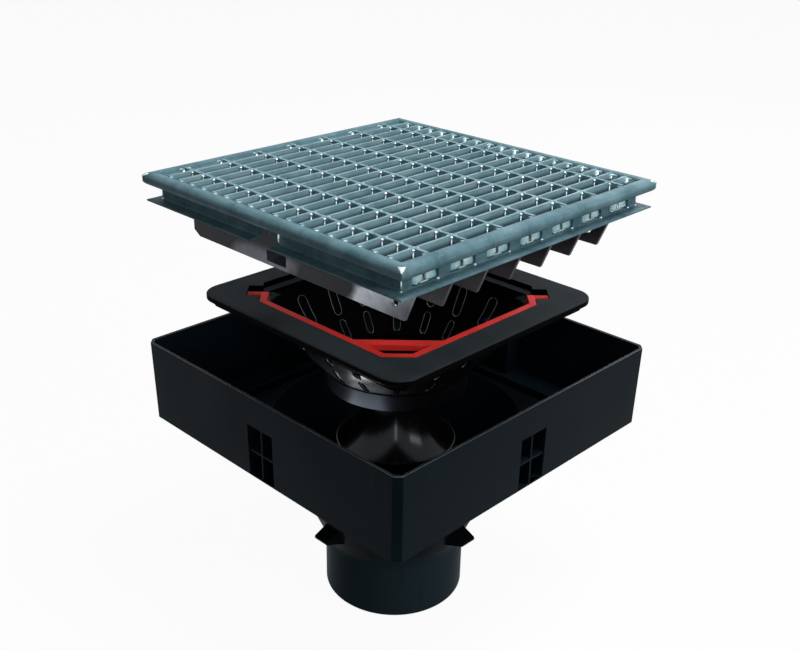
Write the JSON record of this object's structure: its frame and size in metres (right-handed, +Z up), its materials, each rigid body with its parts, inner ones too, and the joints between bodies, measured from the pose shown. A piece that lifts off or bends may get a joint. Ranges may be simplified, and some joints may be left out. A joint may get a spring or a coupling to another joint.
{
  "type": "floor drain",
  "caption": "Square yard floor drain: moulded tray with funnel and outlet spigot, slotted silt bucket with hinged red bail, bell trap and galvanised mesh grating lifted off.",
  "frame": {"origin": "centre of the outlet pipe's lower end, on the plane that the drain stands on", "axes": "+Z up along the outlet pipe; the bearing bars run along Y and the cross bars along X; the bail's grip is at the -X -Y corner"},
  "size_m": [0.2632, 0.2632, 0.339],
  "materials": {
    "galvanised_steel": "hot-dip galvanised",
    "black_plastic": "satin moulded",
    "bell_plastic": "glossy moulded",
    "red_plastic": "satin moulded"
  },
  "bodies": {
    "drain": {"body": "black_plastic", "bucket": "black_plastic", "trap_bell": "bell_plastic", "edge_front": "galvanised_steel", "edge_back": "galvanised_steel", "edge_left": "galvanised_steel", "edge_right": "galvanised_steel", "bearing_bar_1": "galvanised_steel", "bearing_bar_2": "galvanised_steel", "bearing_bar_3": "galvanised_steel", "bearing_bar_4": "galvanised_steel", "bearing_bar_5": "galvanised_steel", "bearing_bar_6": "galvanised_steel", "bearing_bar_7": "galvanised_steel", "cross_bar_01": "galvanised_steel", "cross_bar_02": "galvanised_steel", "cross_bar_03": "galvanised_steel", "cross_bar_04": "galvanised_steel", "cross_bar_05": "galvanised_steel", "cross_bar_06": "galvanised_steel", "cross_bar_07": "galvanised_steel", "cross_bar_08": "galvanised_steel", "cross_bar_09": "galvanised_steel", "cross_bar_10": "galvanised_steel", "cross_bar_11": "galvanised_steel", "cross_bar_12": "galvanised_steel", "cross_bar_13": "galvanised_steel", "cross_bar_14": "galvanised_steel", "cross_bar_15": "galvanised_steel", "cross_bar_16": "galvanised_steel", "cross_bar_17": "galvanised_steel", "cross_bar_18": "galvanised_steel"},
    "bail": {"bail": "red_plastic"}
  },
  "joints": [
    {"name": "bail_swing", "type": "hinge", "parent": "drain", "child": "bail", "pos_m": [0, 0, 0.2465], "axis": [-0.7071, 0.7071, 0], "range_deg": [0, 22]}
  ]
}
